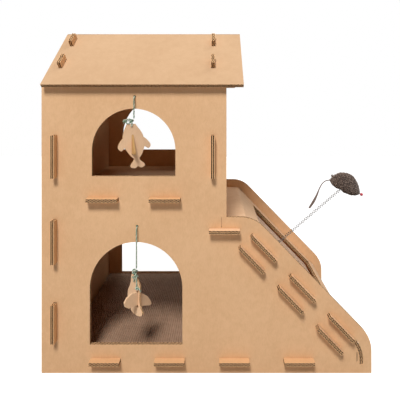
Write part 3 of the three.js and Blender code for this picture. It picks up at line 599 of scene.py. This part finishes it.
support_x = SLOPE_CORNER[0] + SUPPORT_START * slope_x - SUPPORT_SINK * slope_z
support_z = SLOPE_CORNER[1] - SUPPORT_START * slope_z - SUPPORT_SINK * slope_x
flap_tangent = FOLD_RADIUS * math.tan((math.pi / 2 + RAMP_ANGLE) / 2)
support_run = (FLAP_FACE - support_x) / slope_x - flap_tangent - BOARD
places = folded_places((support_x, support_z), -RAMP_ANGLE, [(support_run, 0)], FLUTE_PITCH)
boards["ramp_support_board"] = fluted_board(
    "ramp_support_board", folded_flutes(places, FLUTE_PITCH), "house")

# %% [markdown]
# The roof's flutes run down its two slopes and stop at the creases of its flat top. Each slope is given
# by the way it rises (1 to the back, -1 to the front), its eave's lower corner and its length.

# %% Roof
ROOF_PITCH = math.atan2(106.2, 113.5)
ROOF_SLOPES = [(1, (-9.71, 542.71), 168.7), (-1, (334.81, 553.86), 152.4)]
CREASE_MARGIN = 4

roof_low, roof_size = span_of("roof_sheet")
roof_flutes = bmesh.new()
count, pitch = fitted_pitch(roof_size.x)
for side, (eave_y, eave_z), slope in ROOF_SLOPES:
    uphill = Vector((0, side * math.cos(ROOF_PITCH), math.sin(ROOF_PITCH)))
    out = Vector((0, -side * math.sin(ROOF_PITCH), math.cos(ROOF_PITCH)))
    foot = house(0, eave_y, eave_z) - uphill * OVERRUN * MM
    foot.x = roof_low.x
    run = uphill * (slope + OVERRUN - CREASE_MARGIN) * MM
    for index in range(count + 1):
        start = foot + X * index * pitch * MM
        add_flute(roof_flutes, start, X, out, run, pitch * MM, DOUBLE_WALL)
boards["roof_sheet"] = fluted_board("roof_sheet", roof_flutes, "house")

# %% [markdown]
# ## Scratch pad
#
# A scratch pad is many strips of single-wall board glued side by side on edge, so a cat's claws meet
# the open flutes. The frame holds the block, and the channels are cut 10 mm deep into its face. Every
# other strip is shifted by half a pitch, because the strips are glued without lining up their flutes.

# %% Scratch pad
PAD_STRIP = 4.6
PAD_PITCH = 7.8
PAD_DEPTH = 10
PAD_START = 62
PAD_LENGTH = 204.2
PAD_NEAR = 52
PAD_WIDTH = 233
PAD_RECESS = 10.5

down_slope = Vector((slope_x, 0, -slope_z))
pad_normal = Vector((slope_z, 0, slope_x))
pad_run = pad_normal * (PAD_DEPTH + OVERRUN) * MM
pad_corner = house(SLOPE_CORNER[0], PAD_NEAR, SLOPE_CORNER[1]) + (
    down_slope * PAD_START - pad_normal * (PAD_RECESS + PAD_DEPTH)) * MM
strip_layer = wavy_layers(PAD_STRIP, 1)
pad_flutes = bmesh.new()
for strip in range(int(PAD_WIDTH / PAD_STRIP)):
    shift = PAD_PITCH / 2 if strip % 2 else 0
    strip_end = pad_corner + Y * strip * PAD_STRIP * MM
    for flute in range(int(PAD_LENGTH / PAD_PITCH) + 1):
        start = strip_end + down_slope * (flute * PAD_PITCH + shift) * MM
        add_flute(pad_flutes, start, down_slope, Y, pad_run, PAD_PITCH * MM, strip_layer)
boards["scratch_pad"] = fluted_board("scratch_pad", pad_flutes, "house")

# %% [markdown]
# ## Fish
#
# Each fish is die-cut from 3 mm single-wall board, with a second piece crossing it through a slit. Their
# outlines are the frame's, and the body's edges get the small flutes of thin board. A fish hangs turned
# on its cord, so its flutes are laid out along the turned board.

# %% Fish
FISH_PITCH = 4.2
FISH_REACH = 46
FISH_TURNS = {"upper": math.radians(33), "lower": math.radians(-34)}

for floor, turn in FISH_TURNS.items():
    node = f"{floor}_fish_body"
    low, size = span_of(node)
    along = Vector((math.cos(turn), math.sin(turn), 0))
    out = Vector((-math.sin(turn), math.cos(turn), 0))
    run = Z * (size.z + 2 * OVERRUN) * MM
    corner = house(HOLES[floor][0], -BEND, 0) - (along * FISH_REACH + out * FISH_BOARD / 2) * MM
    corner.z = low.z - OVERRUN * MM
    fish_flutes = bmesh.new()
    for index in range(int(2 * FISH_REACH / FISH_PITCH)):
        start = corner + along * index * FISH_PITCH * MM
        add_flute(fish_flutes, start, along, out, run, FISH_PITCH * MM, SINGLE_WALL)
    boards[node] = fluted_board(node, fish_flutes, f"{floor}_fish")

# %% [markdown]
# ## Spring
#
# The mouse stands on an open coil of steel wire, 41 turns of 5 mm pitch, and a helix is a loop. The real
# wire is 0.9 mm thick, drawn as 1.2 mm, so that the picture shows its turns.

# %% Spring
SPRING_FOOT = (471.54, 168.5, 176.65)
SPRING_RISE = math.radians(40.4)
SPRING_LENGTH = 204.5
SPRING_RADIUS = 3
SPRING_TURNS = 41
TURN_STEPS = 16
WIRE = 1.2

spring_axis = Vector((math.cos(SPRING_RISE), 0, math.sin(SPRING_RISE)))
spring_side = Vector((math.sin(SPRING_RISE), 0, -math.cos(SPRING_RISE)))
spring_foot = house(*SPRING_FOOT)
spring_tip = spring_foot + spring_axis * SPRING_LENGTH * MM
steps = SPRING_TURNS * TURN_STEPS
coil = []
for step in range(steps + 1):
    turn = 2 * math.pi * step / TURN_STEPS
    climb = WIRE / 2 + (SPRING_LENGTH - WIRE) * step / steps
    out = spring_side * math.cos(turn) + Y * math.sin(turn)
    coil.append(spring_foot + (spring_axis * climb + out * SPRING_RADIUS) * MM)
spring = new_piece("mouse_spring_wire", tube_mesh("spring", coil, WIRE), "spring")
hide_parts("mouse_spring")
print("spring faces:", len(spring.data.polygons))

# %% [markdown]
# ## Mouse
#
# The toy is a stuffed body in short fur with a shiny red bead for a nose. The body is the frame's form,
# with its facets smoothed everywhere but at the snout, which has to reach the bead.

# %% Mouse body
SNOUT_LENGTH = 14
SMOOTH_ROUNDS = 2
SMOOTH_FACTOR = 0.5

nose = sum(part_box("mouse_nose"), Vector()) / 2
body_bm = welded_copy("mouse_body")
round_part = [vert for vert in body_bm.verts if (vert.co - nose).length > SNOUT_LENGTH * MM]
for _ in range(SMOOTH_ROUNDS):
    bmesh.ops.smooth_vert(body_bm, verts=round_part, factor=SMOOTH_FACTOR,
                          use_axis_x=True, use_axis_y=True, use_axis_z=True)
fur_bed = [(face.calc_center_median(), face.normal.copy(), face.calc_area())
           for face in body_bm.faces]
mouse_skin = new_piece("mouse_skin", mesh_from(body_bm, "mouse_skin"), "mouse")
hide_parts("mouse_body")

# %% [markdown]
# Thousands of small cones lean towards the tail and give the fur its broken outline. They start a
# little inside the body's skin, so none floats, and they are drawn thicker than real hair, so that the
# picture shows them. A tuft stands up where the skin is gathered at the rump. No hair starts close to
# the bead or to the spring's tip, so that both stay free when the mouse nods. A hair's lean is a sum of
# three ways: straight out, towards the nose (a negative share leans back) and at random.

# %% Fur values
FUR_COUNT = 4200
FUR_LENGTH = 5
FUR_RADIUS = 0.6
FUR_SPREAD = 1.6
FUR_LEAN = (0.45, -0.9, 0.35)
TUFT_COUNT = 60
TUFT_LENGTH = 8
TUFT_SPREAD = 2
TUFT_LEAN = (0.5, -0.8, 0.3)
TUFT_ROOT = (608, 168.5, 337.5)
SHORTEST_SHARE = 0.5
ROOT_DEPTH = 0.5
SPRING_CLEARANCE = 9
BEAD_CLEARANCE = 6.5
MOUSE_TILT = math.radians(-25.6)

# %% Fur
draw = random.Random(7)
fur_bm = bmesh.new()
mouse_axis = Vector((math.cos(MOUSE_TILT), 0, math.sin(MOUSE_TILT)))


def random_way():
    return Vector((draw.uniform(-1, 1), draw.uniform(-1, 1), draw.uniform(-1, 1)))


def add_hair(root, outward, jitter, shares, length):
    outward_share, nose_share, random_share = shares
    lean = outward * outward_share + mouse_axis * nose_share + jitter * random_share
    lean.normalize()
    length = length * draw.uniform(SHORTEST_SHARE, 1) * MM
    turn = lean.to_track_quat("Z", "Y").to_matrix().to_4x4()
    middle = root + lean * (length / 2 - ROOT_DEPTH * MM)
    bmesh.ops.create_cone(fur_bm, cap_ends=False, segments=3, radius1=FUR_RADIUS * MM, radius2=0,
                          depth=length, matrix=Matrix.Translation(middle) @ turn)


areas = [area for _, _, area in fur_bed]
for place, normal, _ in draw.choices(fur_bed, weights=areas, k=FUR_COUNT):
    near_bead = (place - nose).length < BEAD_CLEARANCE * MM
    near_spring = (place - spring_tip).length < SPRING_CLEARANCE * MM
    if near_bead or near_spring:
        continue
    jitter = random_way()
    root = place + (jitter - normal * jitter.dot(normal)) * FUR_SPREAD * MM
    add_hair(root, normal, jitter, FUR_LEAN, FUR_LENGTH)
for _ in range(TUFT_COUNT):
    jitter = random_way()
    add_hair(house(*TUFT_ROOT) + jitter * TUFT_SPREAD * MM, Z, jitter, TUFT_LEAN, TUFT_LENGTH)
fur = new_piece("mouse_fur_pile", mesh_from(fur_bm, "fur"), "mouse")
print("fur faces:", len(fur.data.polygons))

# %% [markdown]
# ## Materials
#
# Colours are written as sRGB hex values, as a painter would mix them, and one function turns them linear
# for the shader. They are chosen so that each board renders as the photograph shows it. Patterns lie on
# object coordinates, and their sizes are given in real millimetres.

# %% Colour and node helpers


def linear(hex_colour):
    parts = [int(hex_colour[index:index + 2], 16) / 255 for index in (1, 3, 5)]
    parts = [part / 12.92 if part <= 0.04045 else ((part + 0.055) / 1.055) ** 2.4 for part in parts]
    return (*parts, 1)


def new_material(name):
    material = bpy.data.materials.new(name)
    material.use_nodes = True
    return material, material.node_tree.nodes["Principled BSDF"]


# Adds a node with its settings and links. A value that is a socket is linked, any other is set.
def add_node(material, kind, inputs=None, **settings):
    node = material.node_tree.nodes.new(kind)
    for key, value in settings.items():
        setattr(node, key, value)
    for key, value in (inputs or {}).items():
        if isinstance(value, bpy.types.NodeSocket):
            material.node_tree.links.new(value, node.inputs[key])
        else:
            node.inputs[key].default_value = value
    return node


def link_sockets(material, source, target):
    material.node_tree.links.new(source, target)


# %% Pattern helpers


def object_places(material):
    return add_node(material, "ShaderNodeTexCoord").outputs["Object"]


# A noise whose blots are about `size` millimetres wide
def noise(material, place, size, detail=2.0, roughness=0.5):
    return add_node(material, "ShaderNodeTexNoise", {
        "Vector": place, "Scale": 1 / (size * MM), "Detail": detail, "Roughness": roughness,
    }).outputs["Fac"]


# Mixes two colours, dark where the share is 0 and light where it is 1, and gives the shader the result
def paint(material, shader, share, dark, light):
    mix = add_node(material, "ShaderNodeMix", {
        "Factor": share, "A": linear(dark), "B": linear(light)}, data_type="RGBA")
    link_sockets(material, mix.outputs["Result"], shader.inputs["Base Color"])


def add_bump(material, shader, height, strength, depth):
    bump = add_node(material, "ShaderNodeBump", {
        "Height": height, "Strength": strength, "Distance": depth * MM})
    link_sockets(material, bump.outputs["Normal"], shader.inputs["Normal"])


# %% [markdown]
# ## Kraft liner
#
# Kraft liner is unbleached paper board: tan and matt, with short fibres that lie one way and a soft
# mottle. The wavy sheet inside shows through as faint ribs, one each 7.1 mm. A wave texture runs through
# 20 radians in a unit at scale 1, and the scale that gives a rib each pitch follows from that. The three
# noises add up to about 1.5, and the tone goes from dark to light across that middle.

# %% Kraft
WAVE_PER_METRE = 2 * math.pi / 20
FIBRE_WIDTH = 1.6
FIBRE_STRETCH = {"X": (1, 1, 0.3), "Y": (1, 0.3, 1), "Z": (1, 0.3, 1)}
MOTTLE_SIZE = 14
CLOUD_SIZE = 120
TONE_LOW, TONE_HIGH = 1.2, 1.8
RIB_STRENGTH = 0.5
KRAFT_ROUGHNESS = 0.88
KRAFT_SPECULAR = 0.25


def add_up(material, first, second):
    values = {0: first, 1: second}
    return add_node(material, "ShaderNodeMath", values, operation="ADD").outputs[0]


def kraft(name, light, dark, rib_axis, rib_depth=0.05, rib_pitch=FLUTE_PITCH):
    material, shader = new_material(name)
    place = object_places(material)
    fibre_place = add_node(material, "ShaderNodeMapping", {
        "Vector": place, "Scale": FIBRE_STRETCH[rib_axis]}).outputs["Vector"]
    fibres = noise(material, fibre_place, FIBRE_WIDTH, detail=3.0)
    mottle = noise(material, place, MOTTLE_SIZE, detail=4.0, roughness=0.6)
    clouds = noise(material, place, CLOUD_SIZE)
    tone = add_up(material, fibres, add_up(material, mottle, clouds))
    share = add_node(material, "ShaderNodeMapRange", {
        "Value": tone, "From Min": TONE_LOW, "From Max": TONE_HIGH}).outputs[0]
    paint(material, shader, share, dark, light)
    ribs = add_node(material, "ShaderNodeTexWave", {
        "Vector": place, "Scale": WAVE_PER_METRE / (rib_pitch * MM)}, bands_direction=rib_axis)
    height = add_up(material, ribs.outputs["Fac"], fibres)
    add_bump(material, shader, height, RIB_STRENGTH, rib_depth)
    shader.inputs["Roughness"].default_value = KRAFT_ROUGHNESS
    shader.inputs["Specular IOR Level"].default_value = KRAFT_SPECULAR
    return material


# %% [markdown]
# The house is cut from one kind of board, yet its parts don't look alike. The upright faces are a warm
# tan. The roof is painted darker, as painted shade that evens out the stronger light on its upturned
# slopes, and the ramp is a rosier batch. Inside a flute the paper is painted nearly black as painted
# shade, and its cut edge is the palest part: cut paper is paler, and the rest is a painted highlight.
# The pad's strips are greyish pink recycled paper, the mat is ribbed brown paper, and the toys are thin
# card with a golden back.

# %% Paper finishes
FINE_RELIEF = 0.02
STRONG_RELIEF = 0.2
MAT_PITCH = 4.5

panel_kraft = kraft("kraft_liner_panels", "#ebbf92", "#e2b588", "X")
wall_kraft = kraft("kraft_liner_walls", "#e2b587", "#d8aa7c", "Y")
floor_kraft = kraft("kraft_liner_floors", "#e2b587", "#d8aa7c", "X")
# The roof is painted darker than the panels, as painted shade that evens out the stronger light on its
# upturned slopes.
roof_kraft_painted_shade = kraft("kraft_liner_roof", "#cfab86", "#c7a27d", "X")
ramp_kraft = kraft("kraft_liner_ramp", "#e8c19b", "#deb58f", "Z")
# The flute channels are painted nearly black: painted shade, because little light gets into them.
flute_painted_shade = kraft("fluting_in_shade", "#2c150c", "#1e0e08", "Z", FINE_RELIEF)
# The cut edges are painted paler: cut paper is a little paler, and the rest is a painted highlight that
# lifts them out of their shade.
cut_paper_and_highlight = kraft("cut_paper", "#f6c693", "#e8b581", "Z", FINE_RELIEF)
pad_kraft = kraft("pad_strips", "#ecd0b9", "#dfc0a7", "Z", STRONG_RELIEF, PAD_PITCH)
# The pad's flute channels are painted darker than its strips, as painted shade.
pad_flute_painted_shade = kraft("pad_flutes", "#cba88e", "#bc997f", "Z", FINE_RELIEF)
card_kraft = kraft("toy_card_liner", "#f6cfa8", "#ecc39b", "X", rib_pitch=FISH_PITCH)
fin_kraft = kraft("toy_card_back", "#cfa46c", "#c39860", "X", rib_pitch=FISH_PITCH)
mat_kraft = kraft("ribbed_mat_paper", "#b09078", "#967861", "X", STRONG_RELIEF, MAT_PITCH)

# %% Dress the paper
board_finishes = {
    "front_panel": panel_kraft, "back_panel": panel_kraft, "lower_floor": floor_kraft,
    "upper_floor": floor_kraft, "left_wall": wall_kraft, "tower_right_wall": wall_kraft,
    "ramp_board": ramp_kraft, "ramp_support_board": ramp_kraft, "roof_sheet": roof_kraft_painted_shade,
    "upper_fish_body": card_kraft, "lower_fish_body": card_kraft,
}
for node, finish in board_finishes.items():
    dress(boards[node], finish, flute_painted_shade, cut_paper_and_highlight)
dress(boards["scratch_pad"], pad_kraft, pad_flute_painted_shade, pad_kraft)
dress(nodes["floor_scratch_mat"], mat_kraft)
dress(nodes["upper_fish_fin"], fin_kraft)
dress(nodes["lower_fish_fin"], card_kraft)

# %% [markdown]
# ## Yarn, fur and felt
#
# Soft things have no shine of their own. Their loose fibres catch light at the rim, which is sheen, and
# break the colour up into blots: fine ones in yarn, larger ones in fur that lies in tufts.

# %% Soft finishes
FUZZ_LOW, FUZZ_HIGH = 0.35, 0.65
YARN_FUZZ = 0.5
FUR_FUZZ = 4
SKIN_FUZZ = 2.2


def fuzzy(name, light, dark, fuzz_size=YARN_FUZZ):
    material, shader = new_material(name)
    fuzz = noise(material, object_places(material), fuzz_size, detail=3.0)
    share = add_node(material, "ShaderNodeMapRange", {
        "Value": fuzz, "From Min": FUZZ_LOW, "From Max": FUZZ_HIGH}).outputs[0]
    paint(material, shader, share, dark, light)
    add_bump(material, shader, fuzz, strength=0.6, depth=0.2)
    shader.inputs["Roughness"].default_value = 0.95
    shader.inputs["Sheen Weight"].default_value = 0.3
    return material


green_yarn = fuzzy("cotton_yarn_green", "#7f9f85", "#4f7a60")
white_yarn = fuzzy("cotton_yarn_white", "#dfe3d3", "#b4bda8")
for piece in cord_pieces:
    dress(piece, green_yarn, white_yarn)
dress(fur, fuzzy("short_fur", "#ab9484", "#574339", FUR_FUZZ))
dress(mouse_skin, fuzzy("fur_ground", "#4c3a31", "#33251f", SKIN_FUZZ))
dress(nodes["mouse_tail"], fuzzy("tail_felt", "#8c7a70", "#6a584f"))

# %% [markdown]
# ## Wire, bead and dowel
#
# Drawn wire is dark steel with a dull gloss that changes along it. The bead is glossy red plastic, so it
# shows one small highlight. The dowel that holds the spring is plain beech with fine grain.

# %% Hard finishes
WIRE_BLOT = 3
BEAD_BLOT = 4
GRAIN_PITCH = 1.5

steel, steel_shader = new_material("drawn_steel_wire")
steel_gloss = add_node(steel, "ShaderNodeMapRange", {
    "Value": noise(steel, object_places(steel), WIRE_BLOT), "To Min": 0.3, "To Max": 0.45})
link_sockets(steel, steel_gloss.outputs[0], steel_shader.inputs["Roughness"])
steel_shader.inputs["Base Color"].default_value = linear("#6b6762")
steel_shader.inputs["Metallic"].default_value = 1.0
dress(spring, steel)

bead, bead_shader = new_material("gloss_bead")
bead_share = noise(bead, object_places(bead), BEAD_BLOT)
paint(bead, bead_shader, bead_share, "#a8152b", "#cf2440")
bead_shader.inputs["Roughness"].default_value = 0.35
dress(nodes["mouse_nose"], bead)

plug_wood = kraft("beech_dowel", "#caa477", "#b98f60", "Z", FINE_RELIEF, GRAIN_PITCH)
dress(nodes["spring_plug"], plug_wood)

# %% [markdown]
# ## Floor and light
#
# The photograph is a cut-out on white with a faint shadow. The floor and the world look white to the
# camera only: the floor adds a glow that only the camera sees, and keeps the shadow. To light, the floor
# is a pale grey and the world is the warm glow that bounces between kraft boards, which fills the
# shadows.

# %% Stage
FLOOR_SIZE = 5
FLOOR_COLOUR = "#c4c4c4"
FLOOR_ROUGHNESS = 0.9
FLOOR_GLOW = 0.8
WHITE = "#ffffff"
FILL = "#ffd9c0"
FILL_STRENGTH = 0.06


def larger(material, first, second):
    values = {0: first, 1: second}
    return add_node(material, "ShaderNodeMath", values, operation="MAXIMUM").outputs[0]


# A value of 1 for the rays that the camera sees, straight or by way of metal or glass, 0 for light
def seen_rays(material):
    rays = add_node(material, "ShaderNodeLightPath").outputs
    direct = larger(material, rays["Is Camera Ray"], rays["Is Glossy Ray"])
    return larger(material, direct, rays["Is Transmission Ray"])


# %% Floor
floor_bm = bmesh.new()
bmesh.ops.create_grid(floor_bm, x_segments=1, y_segments=1, size=FLOOR_SIZE / 2)
bmesh.ops.translate(floor_bm, vec=Z * cad_box[0].z, verts=floor_bm.verts)
studio_floor = new_object("studio_floor", mesh_from(floor_bm, "studio_floor"))

floor_paint, floor_shader = new_material("white_floor")
glow = add_node(floor_paint, "ShaderNodeMath", {0: seen_rays(floor_paint), 1: FLOOR_GLOW},
                operation="MULTIPLY")
link_sockets(floor_paint, glow.outputs[0], floor_shader.inputs["Emission Strength"])
floor_shader.inputs["Base Color"].default_value = linear(FLOOR_COLOUR)
floor_shader.inputs["Roughness"].default_value = FLOOR_ROUGHNESS
floor_shader.inputs["Specular IOR Level"].default_value = 0
floor_shader.inputs["Emission Color"].default_value = linear(WHITE)
dress(studio_floor, floor_paint)

# %% World
world = bpy.data.worlds.new("studio")
bpy.context.scene.world = world
world.use_nodes = True
background = world.node_tree.nodes["Background"]
seen = seen_rays(world)
sky = add_node(world, "ShaderNodeMix", {
    "Factor": seen, "A": linear(FILL), "B": linear(WHITE)}, data_type="RGBA")
strength = add_node(world, "ShaderNodeMapRange", {
    "Value": seen, "To Min": FILL_STRENGTH, "To Max": 1.0})
link_sockets(world, sky.outputs["Result"], background.inputs["Color"])
link_sockets(world, strength.outputs[0], background.inputs["Strength"])

# %% [markdown]
# One soft lamp stands in front of the house, a little to its left and high up, as the shadows of the
# tabs, the eave and the lower fish show. Two weak lamps behind it and to its right light the landing and
# the upper floor, and keep other views from going dark. Each way is a direction from the house.

# %% Lamps
LAMP_DISTANCE = 4
KEY_WAY = (-20, -83, 108)
BACK_WAY = (-30, 90, 45)
SIDE_WAY = (55, 10, 100)


def soft_lamp(name, way, size, power):
    lamp = bpy.data.lights.new(name, "AREA")
    lamp.size = size
    lamp.energy = power
    target = (cad_box[0] + cad_box[1]) / 2
    thing = new_object(name, lamp)
    thing.location = target + Vector(way).normalized() * LAMP_DISTANCE
    thing.rotation_euler = (target - thing.location).to_track_quat("-Z", "Y").to_euler()


soft_lamp("key_softbox", KEY_WAY, size=0.9, power=145)
soft_lamp("back_softbox", BACK_WAY, size=2, power=45)
soft_lamp("side_softbox", SIDE_WAY, size=2, power=50)

bpy.context.scene.view_settings.view_transform = "Standard"
